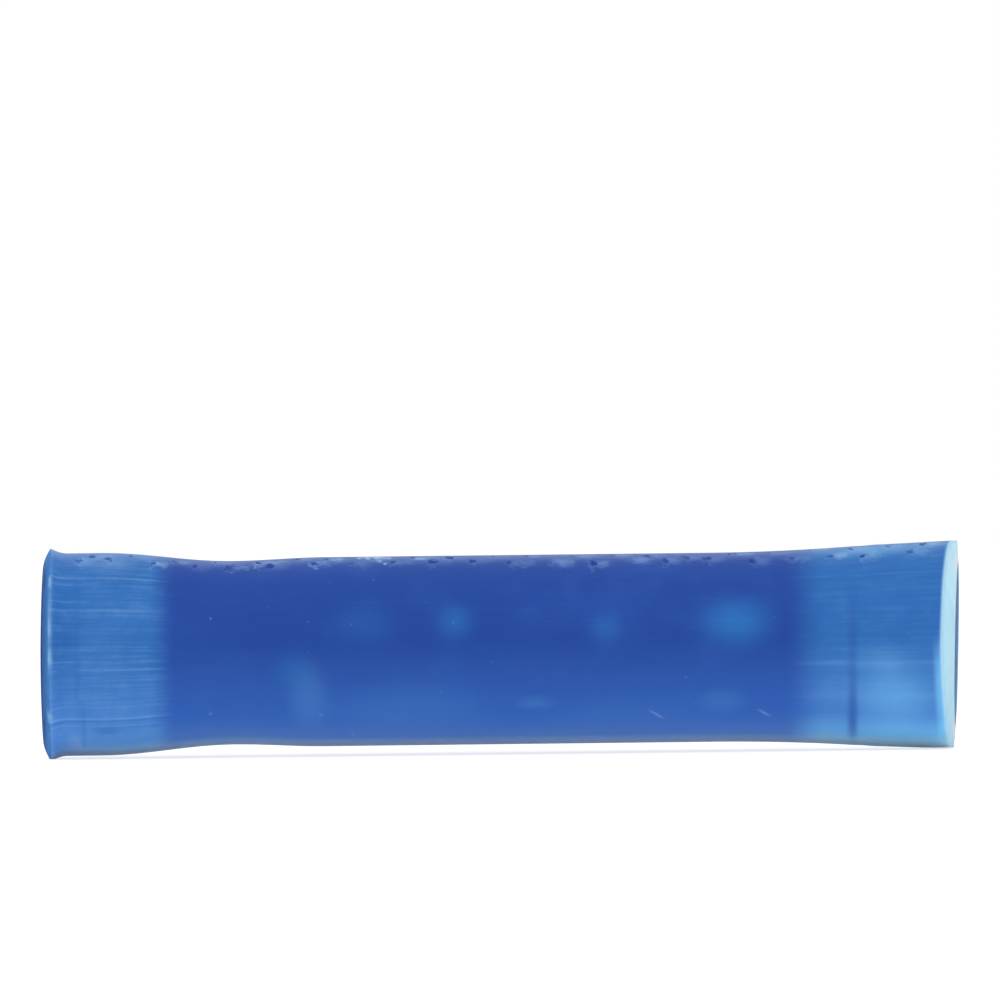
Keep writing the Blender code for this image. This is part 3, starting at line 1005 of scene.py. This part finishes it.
@dataclass
class VinylSleeve:
    """The insulation: one tube with a curled lip on its left bell and a long cone for its right one."""

    left_overhang: float = 3.54 * MM
    right_overhang: float = 4.6 * MM
    seat_radius: float = 2.0 * MM
    wall: float = 0.7 * MM
    seat_margin: float = 0.1 * MM
    neck_depth: float = 0.08 * MM
    neck_reach: float = 1.9 * MM
    neck_runout: float = 2.6 * MM
    left_bell_rise: float = 0.19 * MM
    left_bell_reach: float = 1.9 * MM
    left_bell_wall: float = 0.62 * MM
    lip_rise: float = 0.145 * MM
    lip_length: float = 0.5 * MM
    lip_setback: float = 0.22 * MM
    lip_bore_rise: float = 0.23 * MM
    lip_crown: float = 0.035 * MM
    left_slant: float = math.radians(0.55)
    left_swing: float = math.radians(-2.5)
    left_bow: float = 0.05 * MM
    lip_push: float = 0.05 * MM
    lip_push_fade: float = 5.0
    ring_setback: float = 1.0 * MM
    ring_width: float = 0.16 * MM
    ring_depth: float = 0.04 * MM
    flare_lead: float = 2.4 * MM
    flare_rise: float = 0.14 * MM
    shoulder_setback: float = 2.9 * MM
    shoulder_run: float = 0.7 * MM
    shoulder_rise: float = 0.04 * MM
    mouth_rise: float = 0.09 * MM
    right_bell_wall: float = 0.61 * MM
    mouth_setback: float = 0.05 * MM
    right_slant: float = math.radians(1.6)
    right_swing: float = math.radians(3.1)
    mouth_drag: float = 0.31 * MM
    mouth_drag_power: float = 0.4
    mouth_drag_fade: float = 0.5
    bell_oval: float = 0.018
    lip_flat: float = 0.07 * MM
    mouth_flat: float = 0.04 * MM
    station_count: int = 590
    curve_steps: int = 12
    cone_steps: int = 10
    cut_steps: int = 8
    ring_points: int = 7
    edge_rounding: float = 0.02 * MM
    rounding_steps: int = 5
    dense_turns: tuple[tuple[float, float, float], ...] = ((6.0, 40.0, 0.8), (129.0, 142.0, 1.0))
    turn_spacing: float = 4.1
    waver: Ripple = Ripple(3, 12, 0.005 * MM)
    waver_power: int = 6
    marks: GripMarks = field(default_factory=GripMarks)
    finish: VinylFinish = field(default_factory=VinylFinish)
    backing_left: Rise = Rise(-0.55 * MM, 0.85 * MM)
    backing_right: Rise = Rise(0.95 * MM, -1.35 * MM)
    # The painted floor light: where it starts low down and how it grows towards the bottom
    underside_from: float = -0.12
    underside_span: float = 1.05
    underside_power: float = 1.25
    bell_start: Rise = Rise(0.0, 1.1 * MM)
    # Painted floor light low on the bells and the body, and a painted pale line along the bottom edge
    bell_haze_light: Rise = Rise(0.66, 0.24)
    bell_haze_lights: Span = (0.25, 0.70)
    bell_glow: Rise = Rise(0.86, 0.09)
    bell_glows: Span = (0.36, 0.62)
    body_haze_light: Rise = Rise(0.76, 0.20, 0.16)
    body_pale_light: Rise = Rise(0.60, 0.30, 0.08)
    bottom_edge_pale_light: Rise = Rise(0.895, 0.075)
    bottom_edge_pale_lights: Slope = Slope(0.23, 0.35)
    # A painted sheen along the top
    top_pale_sheen: Rise = Rise(0.90, 0.10, 0.12)
    cloud_pale: float = 0.75
    cloud_pale_right: float = 0.4
    cloud_haze: float = 0.3
    mark_shade: float = 0.9
    mark_matte: float = 0.8
    # Painted shade in the creases: round the shoulder and in two rings on the left bell
    crease_front: Ridge = Ridge(98.0, 66.0)
    crease_low_front: Ridge = Ridge(140.0, 42.0)
    shoulder_crease: Ridge = Ridge(-0.10 * MM, 0.24 * MM)
    shoulder_creases: Span = (0.35, 0.80)
    upper_ring: Ridge = Ridge(0.99 * MM, 0.14 * MM, 0.15)
    lower_ring: Ridge = Ridge(1.16 * MM, 0.12 * MM, 0.30)
    crease_clearing: float = 0.8
    crease_backing: float = 0.6
    crease_shade: float = 0.35
    lip_shade: Rise = Rise(0.9 * MM, -0.9 * MM, 0.85)
    # The lip's ridge carries a painted highlight
    lip_ridge: Ridge = Ridge(0.03 * MM, 0.08 * MM)
    ridge_highlight: float = 0.04
    ridge_highlight_glow: float = 0.03
    left_cut_glow: float = 0.03
    left_cut_dimming: float = 0.8
    # The left cut's painted shade, darkest in two wedges
    lip_dark: Rise = Rise(0.52 * MM, -0.52 * MM)
    lip_dark_least: float = 0.62
    lip_wedges: tuple[Ridge, ...] = (Ridge(37.0, 16.0, 0.38), Ridge(140.0, 22.0, 0.30))
    # The right cut's painted pale rim
    rim: Rise = Rise(0.75, -0.75)
    rim_least: float = 0.08
    rim_ends: Rise = Rise(0.76, 0.16, 0.60)
    # The mouth's strip of painted light
    strip_along: Rise = Rise(0.38 * MM, -0.24 * MM, 0.60)
    strip_from: Rise = Rise(80.0, 30.0)
    strip_to: Rise = Rise(165.0, -15.0)
    # The painted glow of the right cut, its edge and the mouth
    corner_glow: float = 0.76
    corner_rise: Rise = Rise(0.0, 0.10 * MM, 0.24)
    right_cut_glow: float = 0.94
    right_cut_waver: Ripple = Ripple(8, 14, 0.06)
    edge_glow: float = 0.72
    edge_width: float = 0.12 * MM
    edge_waver: Ripple = Ripple(4, 13, 0.05 * MM)
    mouth_glow: Rise = Rise(1.2 * MM, -1.2 * MM, 0.30)
    blooms: tuple[Blot, ...] = (
        Blot(-1.28, 71.8, 0.80, 17.0, 0.62),
        Blot(3.00, 76.9, 0.70, 15.0, 0.45),
        Blot(-3.84, 73.3, 1.30, 20.0, 0.30),
        Blot(6.70, 73.8, 1.50, 23.0, 0.95),
        Blot(-5.90, 101.0, 0.85, 17.0, 0.40),
        Blot(-11.20, 138.5, 0.80, 5.0, 0.60),
    )
    # Patches of painted light, mostly low on the front
    haze_light_patches: tuple[Blot, ...] = (
        Blot(11.3, 122.0, 1.9, 34.0, 0.36),
        Blot(10.9, 97.0, 1.4, 14.0, 0.12),
        Blot(10.8, 19.0, 2.5, 13.0, 0.22),
        Blot(11.4, 150.0, 2.2, 22.0, 0.20),
        Blot(-5.45, 120.0, 0.85, 34.0, 0.12),
        Blot(-2.60, 128.0, 3.60, 26.0, 0.07),
        Blot(0.97, 123.8, 0.85, 5.5, 0.12),
        Blot(6.30, 124.0, 1.00, 13.0, 0.09),
        Blot(3.60, 132.0, 3.80, 20.0, 0.04),
    )
    scuffs: tuple[Blot, ...] = (
        Blot(-3.58, 8.5, 0.56, 5.0, 0.55),
        Blot(-3.97, 10.5, 0.11, 3.5, 0.70),
        Blot(-3.72, 13.0, 0.12, 2.2, 0.55),
        Blot(-3.50, 10.5, 0.10, 3.0, 0.50),
        Blot(-3.15, 11.5, 0.12, 3.2, 0.70),
        Blot(-3.41, 17.6, 0.14, 4.6, 0.46, lean=16.0),
        Blot(-3.24, 22.7, 0.07, 2.2, 0.85),
        Blot(-2.28, 14.0, 0.30, 4.0, 0.35),
        Blot(-8.95, 17.0, 0.26, 6.0, 0.12),
        Blot(-11.10, 28.0, 1.10, 18.0, 0.09),
        Blot(-11.10, 90.0, 1.50, 75.0, 0.03),
        Blot(-12.10, 150.0, 0.35, 13.0, 0.26),
        Blot(4.41, 133.7, 0.30, 1.7, 0.42, lean=17.0),
        Blot(7.47, 133.2, 0.27, 1.8, 0.36, lean=16.0),
        Blot(-8.23, 130.3, 0.07, 1.8, 0.30),
        Blot(-5.10, 131.0, 0.09, 1.6, 0.22),
        Blot(-4.20, 151.0, 0.05, 2.0, 0.50),
        Blot(-3.75, 152.5, 0.05, 2.0, 0.50),
    )
    # Painted highlights along the lip's crest
    crest_highlights: tuple[Blot, ...] = (
        Blot(-12.80, 46.0, 0.07, 6.0, 0.34),
        Blot(-12.80, 75.0, 0.07, 6.5, 0.22),
        Blot(-12.79, 91.5, 0.09, 7.5, 0.30),
        Blot(-12.80, 72.0, 0.07, 34.0, 0.13),
        Blot(-12.81, 125.5, 0.12, 6.0, 0.30),
    )

    def __post_init__(self) -> None:
        """Takes the sleeve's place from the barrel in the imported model, and works out its other sizes."""
        low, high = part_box("crimp_barrel")
        self.barrel_left, self.barrel_right = low.x, high.x
        self.left = self.barrel_left - self.left_overhang
        self.right = self.barrel_right + self.right_overhang
        self.body_radius = self.seat_radius + self.wall
        self.bell_crest = self.barrel_left - self.left_bell_reach
        self.neck = self.barrel_left + self.neck_reach
        self.lip_edge = self.left + self.lip_setback
        self.body_end = self.barrel_right - self.flare_lead
        self.shoulder = self.right - self.shoulder_setback
        self.mouth_edge = self.right - self.mouth_setback
        self.left_bore_radius = self.body_radius + self.left_bell_rise - self.left_bell_wall
        self.flare_radius = self.body_radius + self.flare_rise
        self.right_bell_radius = self.flare_radius + self.shoulder_rise
        self.mouth_radius = self.right_bell_radius + self.mouth_rise
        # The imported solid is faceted: its flats lie a little inside the true round, and the lip is highest
        self.lip_radius = self.body_radius + self.left_bell_rise + self.lip_rise
        self.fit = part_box("vinyl_sleeve")[1].z / self.lip_radius

    def outside_radius(self, x: np.ndarray) -> np.ndarray:
        """The outer line's radius along x.

        It is the body's radius, plus the left bell falling into the neck on half a cosine wave, less the neck
        running out to the body on another, plus the lip's parabola, the flare's parabola, the shoulder's half
        wave and the right cone's straight rise.

        Args:
            x: places along the sleeve.

        Returns:
            The radius at each.
        """
        into_neck = smooth_step((x - self.bell_crest) / (self.neck - self.bell_crest))
        out_of_neck = smooth_step((x - self.neck) / self.neck_runout)
        lip = np.clip((self.lip_edge + self.lip_length - x) / self.lip_length, 0, 1)
        opening = np.clip((x - self.body_end) / (self.shoulder - self.body_end), 0, 1)
        step = smooth_step((x - self.shoulder) / self.shoulder_run)
        return (
            self.body_radius
            + (self.left_bell_rise + self.neck_depth) * (1 - into_neck)
            - self.neck_depth * (1 - out_of_neck)
            + self.lip_rise * lip**2
            + self.flare_rise * opening**2
            + self.shoulder_rise * step
            + self.mouth_rise * self.cone_share(x)
        )

    def cone_share(self, x: np.ndarray) -> np.ndarray:
        """0 up to the shoulder's end, rising evenly to 1 at the right mouth's outer edge."""
        start = self.shoulder + self.shoulder_run
        return np.clip((x - start) / (self.mouth_edge - start), 0, 1)

    def bore_line(self) -> np.ndarray:
        """The inner line from the right mouth to the left lip, with the step, the seat and the punch ring."""
        mouth = (self.right, self.mouth_radius - self.right_bell_wall)
        shoulder = (self.shoulder, self.right_bell_radius - self.right_bell_wall)
        foot = (self.shoulder - self.shoulder_rise, self.flare_radius - self.right_bell_wall)
        seat_right = (self.barrel_right + self.seat_margin, self.seat_radius)
        seat_left = (self.barrel_left - self.seat_margin, self.seat_radius)
        bell = (self.bell_crest, self.left_bore_radius)
        ring = self.left + self.ring_setback
        lip_root = (self.lip_edge + self.lip_length, self.left_bore_radius)
        lip = (self.left, self.left_bore_radius + self.lip_bore_rise)
        ring_x = np.linspace(ring + self.ring_width, ring - self.ring_width, self.ring_points)
        ring_rise = Ridge(ring, self.ring_width, self.ring_depth).at(ring_x)
        return np.vstack(
            [
                straight(mouth, shoulder, self.cone_steps),
                [foot],
                s_curve(foot, seat_right, self.curve_steps),
                [seat_left],
                s_curve(seat_left, bell, self.curve_steps),
                np.column_stack([ring_x, self.left_bore_radius + ring_rise]),
                [lip_root],
                flare(lip_root, lip, self.cut_steps),
            ]
        )

    def section(self) -> Section:
        """The wall's closed section, with the mouth's leaning cut face and the lip's crowned one."""
        x = np.linspace(self.lip_edge, self.mouth_edge, self.station_count)
        outside = np.column_stack([x, self.outside_radius(x)])
        inside = self.bore_line()
        right_cut = straight(tuple(outside[-1]), tuple(inside[0]), self.cut_steps)
        left_cut = straight(tuple(inside[-1]), tuple(outside[0]), self.cut_steps)
        share = np.linspace(0, 1, len(left_cut))
        left_cut[:, 0] -= 4 * self.lip_crown * share * (1 - share)
        lines = [outside, right_cut, inside, left_cut]
        return Section.rounded(lines, self.edge_rounding, self.rounding_steps)

    def bell_share(self, x: np.ndarray) -> np.ndarray:
        """0 over the barrel, rising along each bell on half a cosine wave to 1 at its mouth."""
        left = smooth_step((self.barrel_left - x) / self.left_overhang)
        right = smooth_step((x - self.barrel_right) / self.right_overhang)
        return left + right

    def edge_drag(self, section: Section, turns: np.ndarray) -> np.ndarray:
        """How far the blade dragged the right mouth's outer edge back at the front.

        It grows along the cone to the outer edge and dies out across the cut face to the bore. Round X it
        is a power of the front's share, which is the sine of the turn, less below, and 0 at the back.

        Args:
            section: the wall's closed section.
            turns: a row of turns.

        Returns:
            The drag at each station and turn.
        """
        x, radius = section.points[:, :1], section.points[:, 1:]
        bore_edge = self.mouth_radius - self.right_bell_wall
        across_cut = np.clip((radius - bore_edge) / self.right_bell_wall, 0, 1)
        outside = self.cone_share(x) * section.on(Stretch.OUTSIDE)
        weight = outside + across_cut * section.on(Stretch.RIGHT_END)
        front = np.clip(np.sin(turns), 0, 1)
        fade = 1 - self.mouth_drag_fade * np.clip(-np.cos(turns), 0, 1)
        return self.mouth_drag * fade * weight * front**self.mouth_drag_power

    def left_push(self, section: Section, turns: np.ndarray) -> np.ndarray:
        """How far the left cut stands out at the front and back.

        The whole bell end bows out by the square of the turn's sine. The lip's outer edge goes further at
        the front, by the sine itself. That push dies out from the lip's crest, a few times faster than the
        lip itself along X, and across the outer half of the cut face.

        Args:
            section: the wall's closed section.
            turns: a row of turns.

        Returns:
            The push at each station and turn.
        """
        x, radius = section.points[:, :1], section.points[:, 1:]
        crown = (self.left_bore_radius + self.lip_bore_rise + self.lip_radius) / 2
        across_cut = np.clip((radius - crown) / (self.lip_radius - crown), 0, 1)
        along_lip = np.clip(1 - self.lip_push_fade * (x - self.lip_edge) / self.lip_length, 0, 1)
        weight = along_lip * section.on(Stretch.OUTSIDE) + across_cut * section.on(Stretch.LEFT_END)
        bow = self.left_bow * np.sin(turns) ** 2 * smooth_step((self.barrel_left - x) / self.left_overhang)
        return bow + self.lip_push * weight * np.clip(np.sin(turns), 0, 1)

    def layers(self, section: Section, turns: np.ndarray, bites: Bites) -> dict[Layer, np.ndarray]:
        """The masks that colour the vinyl.

        Args:
            section: the wall's closed section.
            turns: a row of turns.
            bites: what the tooth marks do at each station and turn.

        Returns:
            A mask for each layer, which spreads over the stations and turns.
        """
        x = section.points[:, :1]
        outside, right_cut, inside, left_cut = (section.on(stretch) for stretch in Stretch)
        below = -np.cos(turns)
        # Painted floor light, growing towards the bottom
        underside = np.clip((below - self.underside_from) / self.underside_span, 0, 1)
        backing = self.backing_left.at(x - self.barrel_left) * self.backing_right.at(x - self.barrel_right)
        # Painted shade in the creases, which also darkens through the backed colour and dims the painted
        # light
        crease_shadow = self.crease_shadows(x, turns)
        out_of_crease_shadow = 1 - self.crease_clearing * crease_shadow

        # Painted floor light low on the bells
        bell = (1 - backing) * self.bell_start.at(x - self.lip_edge) * outside
        bell_glow = self.bell_glow.at(below) * bell * np.where(x < 0, *self.bell_glows)
        bell_haze_light = self.bell_haze_light.at(below) * bell * np.where(x < 0, *self.bell_haze_lights)
        # Painted light: lit patches and the low bells and body, dimmed in the crease shade, plus clouds
        # between marks
        haze_light = all_on(self.haze_light_patches, x, turns) + bell_haze_light + self.body_haze_light.at(below) * backing
        haze_light = haze_light * out_of_crease_shadow + self.cloud_haze * bites.clouded * (1 - bites.core_shade)

        cloud_pale = self.cloud_pale + self.cloud_pale_right * (x > 0) * (1 - backing)
        # The top's painted sheen joins the marks' pale edges and the clouds between them
        upper_pale_and_sheen = bites.pale + self.top_pale_sheen.at(-below) + bites.clouded * cloud_pale
        marks_and_sheen = np.clip(upper_pale_and_sheen * (1 - bites.core_shade) + all_on(self.scuffs, x, turns), 0, 1)
        # Painted floor light on the lower body and a painted pale line along the bottom edge
        low_pale_light = self.body_pale_light.at(below) * backing + self.bottom_edge_pale_light.at(below) * self.bottom_edge_pale_lights.at(backing)
        ridge = self.lip_ridge.at(x - self.lip_edge)
        shade = self.mark_shade * bites.core_shade + self.crease_shade * crease_shadow
        return {
            # The crease shade also darkens through the backed colour
            Layer.BACKING: np.clip(backing + self.crease_backing * crease_shadow * outside, 0, 1),
            Layer.UNDERSIDE_LIGHT: underside**self.underside_power * (1 - self.left_cut_dimming * left_cut),
            Layer.BLOOM: np.clip(all_on(self.blooms, x, turns), 0, 1) * outside,
            Layer.SHADE: np.clip(shade, 0, 1) * outside + self.lip_shade.at(x - self.left) * inside,
            Layer.PALE_AND_LIGHT: np.clip(marks_and_sheen + low_pale_light + self.ridge_highlight * ridge, 0, 1) * outside,
            Layer.ROUGH: marks_and_sheen * outside,
            Layer.RIM_LIGHT: self.rim_light_mask(section, turns),
            Layer.LIP_SHADE: self.lip_shade_mask(section, turns),
            Layer.HAZE_LIGHT: np.clip(haze_light + self.mouth_light_strip(x, turns), 0, 1) * outside,
            Layer.GLOW: np.clip(self.glow(section, turns) + bell_glow * out_of_crease_shadow, 0, 1),
            Layer.BORE: inside,
            Layer.MATTE: np.clip(self.mark_matte * bites.core_shade * outside + left_cut + right_cut, 0, 1),
        }

    def crease_shadows(self, x: np.ndarray, turns: np.ndarray) -> np.ndarray:
        """Painted shade: a darker band round the shoulder and two faint rings on the left bell, all at the
        front.
        """
        front = self.crease_front.round_x(turns)
        low_front = self.crease_low_front.round_x(turns)
        front_share, low_share = self.shoulder_creases
        shoulder = self.shoulder_crease.at(x - self.shoulder) * (front_share * front + low_share * low_front)
        from_left = x - self.left
        return shoulder + self.upper_ring.at(from_left) * front + self.lower_ring.at(from_left) * low_front

    def lip_shade_mask(self, section: Section, turns: np.ndarray) -> np.ndarray:
        """The left cut's painted shade: it fades out from the bore to the edge, and is darkest in two wedges.
        """
        from_bore = section.points[:, 1:] - self.left_bore_radius - self.lip_bore_rise
        wedges = sum(wedge.round_x(turns) for wedge in self.lip_wedges)
        return self.lip_dark.at(from_bore) * section.on(Stretch.LEFT_END) * (self.lip_dark_least + wedges)

    def rim_light_mask(self, section: Section, turns: np.ndarray) -> np.ndarray:
        """The right cut's palest painted light: it fades out from the bore, and is strong at the top and
        below.
        """
        across = (section.points[:, 1:] - self.mouth_radius + self.right_bell_wall) / self.right_bell_wall
        strength = self.rim_least + self.rim_ends.at(np.abs(np.cos(turns)))
        return self.rim.at(across) * section.on(Stretch.RIGHT_END) * strength

    def mouth_light_strip(self, x: np.ndarray, turns: np.ndarray) -> np.ndarray:
        """A strip of painted light along the right mouth, low on the front."""
        low_front = self.strip_from.round_x(turns) * self.strip_to.round_x(turns)
        return self.strip_along.at(self.mouth_edge - x) * low_front

    def glow(self, section: Section, turns: np.ndarray) -> np.ndarray:
        """Painted light, where light comes out of the wall's ends.

        It is the right cut face, softened at its outer corner, with its outer edge and the mouth behind it,
        and much less the left cut face and the lip's ridge, apart from a few painted highlights on the ridge.

        Args:
            section: the wall's closed section.
            turns: a row of turns.

        Returns:
            The glow at each station and turn, from 0 to 1.
        """
        x, radius = section.points[:, :1], section.points[:, 1:]
        outside, on_right_cut, inside, on_left_cut = (section.on(stretch) for stretch in Stretch)
        softened = self.corner_glow + self.corner_rise.at(self.mouth_radius - radius)
        right_cut = on_right_cut * (self.right_cut_glow + self.right_cut_waver.at(turns)) * softened
        edge_width = self.edge_width + self.edge_waver.at(turns)
        edge = outside * smooth_step(1 - (self.mouth_edge - x) / edge_width) * self.edge_glow
        mouth = inside * self.mouth_glow.at(self.right - x)
        ridge = self.ridge_highlight_glow * self.lip_ridge.at(x - self.lip_edge) * outside
        spots = all_on(self.crest_highlights, x, turns) * (outside + on_left_cut)
        return np.clip(ridge + spots + self.left_cut_glow * on_left_cut + right_cut + edge + mouth, 0, 1)

    def build(self) -> bpy.types.Object:
        """Makes the sleeve.

        Each section point is carried round X at its radius plus the tooth marks' rise. The cut ends waver a
        little, and the edges that were pushed or dragged are moved along X. The bells are then made oval
        across Y, pressed flat where they lie, and sheared along X by the tangents of their cuts' slant and
        swing.

        Returns:
            The dressed piece.
        """
        section = self.section()
        turns = turns_with(self.dense_turns, self.turn_spacing)
        x, radius = section.points[:, :1], section.points[:, 1:]
        bites = self.marks.press(x, turns)
        radius = (radius + bites.rise * section.on(Stretch.OUTSIDE)) * self.fit
        share = self.bell_share(x)
        waver = self.waver.at(turns) * share**self.waver_power
        moved = waver - self.edge_drag(section, turns) - self.left_push(section, turns)
        y = -radius * np.sin(turns) * (1 + self.bell_oval * share)
        rest_height = np.where(x < 0, self.lip_radius - self.lip_flat, self.mouth_radius - self.mouth_flat)
        z = np.maximum(radius * np.cos(turns), -rest_height)
        slant = np.where(x < 0, math.tan(self.left_slant), math.tan(self.right_slant))
        swing = np.where(x < 0, math.tan(self.left_swing), math.tan(self.right_swing))
        placed = x + moved + (slant * z + swing * y) * share
        points = np.stack([placed, y, z], axis=-1)
        piece = carried_round("vinyl_sleeve_skin", points, self.layers(section, turns, bites), turns)
        piece.data.materials.append(self.finish.material("blue_vinyl"))
        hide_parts("vinyl_sleeve")
        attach(piece, BODY)
        return piece


@dataclass(frozen=True)
class SoftLamp:
    """A square area lamp: where it stands, its side and its power in watts."""

    name: str
    place: tuple[float, float, float]
    side: float
    power: float

    def build(self) -> bpy.types.Object:
        """Makes the lamp, aimed at the origin."""
        light = bpy.data.lights.new(self.name, "AREA")
        light.shape = "SQUARE"
        light.size = self.side
        light.energy = self.power
        lamp = linked(self.name, light)
        lamp.location = self.place
        lamp.rotation_euler = (-lamp.location).to_track_quat("-Z", "Y").to_euler()
        lamp.visible_glossy = False
        return lamp


@dataclass
class Studio:
    """A pale floor, an even white surround, soft lamps and the camera."""

    floor_side: float = 3.0
    floor_colour: Colour = (0.95, 0.95, 0.95)
    floor_share: float = 0.5
    surround: float = 0.80
    floor_white: float = 1.38
    camera_distance: float = 0.40
    view_width: float = 28.493 * MM
    sensor_width: float = 36.0
    view_middle: Span = (0.048 * MM, 4.263 * MM)
    roll: float = math.radians(0.66)
    clip_range: Span = (0.01, 10.0)
    lamps: tuple[SoftLamp, ...] = (
        SoftLamp("key_lamp", (-0.12, -0.30, 0.42), 0.34, 0.6),
        SoftLamp("front_lamp", (0.10, -0.50, 0.10), 0.30, 0.3),
    )

    def build_surround(self) -> None:
        """White for the camera and in reflections, and softer as light on the object."""
        world = bpy.data.worlds.new("surround")
        bpy.context.scene.world = world
        graph = NodeGraph(world)
        strength = graph.between(graph.seen_share(), self.surround, 1.0)
        sky = graph.add("Background", {"Color": WHITE, "Strength": strength})
        graph.finish(sky.outputs[0])

    def build_floor(self) -> bpy.types.Object:
        """The floor under the object: it shows white, and keeps the object's shadow."""
        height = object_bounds()[0][2]
        half = self.floor_side / 2
        corners = [(-half, -half, height), (half, -half, height), (half, half, height), (-half, half, height)]
        mesh = bpy.data.meshes.new("floor")
        mesh.from_pydata(corners, [], [(0, 1, 2, 3)])
        floor = linked("floor", mesh)
        graph = NodeGraph(bpy.data.materials.new("pale_floor"))
        diffuse = graph.add("BsdfDiffuse", {"Color": (*self.floor_colour, 1.0)})
        white = graph.add("Emission", {"Color": WHITE, "Strength": self.floor_white})
        share = graph.number("MULTIPLY", graph.seen_share(), self.floor_share)
        mixed = graph.add("MixShader", {0: share, 1: diffuse.outputs[0], 2: white.outputs[0]})
        mesh.materials.append(graph.finish(mixed.outputs[0]))
        floor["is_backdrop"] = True
        return floor

    def build_camera(self) -> bpy.types.Object:
        """A long lens, level with the view's middle, rolled as far as the object leans in the view."""
        lens = bpy.data.cameras.new("camera")
        lens.sensor_width = self.sensor_width
        lens.lens = self.sensor_width * self.camera_distance / self.view_width
        lens.clip_start, lens.clip_end = self.clip_range
        camera = linked("camera", lens)
        camera.location = (self.view_middle[0], -self.camera_distance, self.view_middle[1])
        camera.rotation_euler = (QUARTER_TURN, self.roll, 0)
        bpy.context.scene.camera = camera
        return camera

    def build(self) -> None:
        """Sets the studio up."""
        bpy.context.scene.view_settings.view_transform = "Standard"
        self.build_surround()
        self.build_floor()
        for lamp in self.lamps:
            lamp.build()
        self.build_camera()


def main() -> None:
    """Builds the pieces, then the studio, and reports each."""
    logging.basicConfig(level=logging.INFO, format="%(message)s")
    for sub_assembly in (CrimpBarrel(), VinylSleeve()):
        piece = sub_assembly.build()
        log.info("%s: %d faces", piece.name, len(piece.data.polygons))
    Studio().build()


if __name__ == "__main__":
    main()
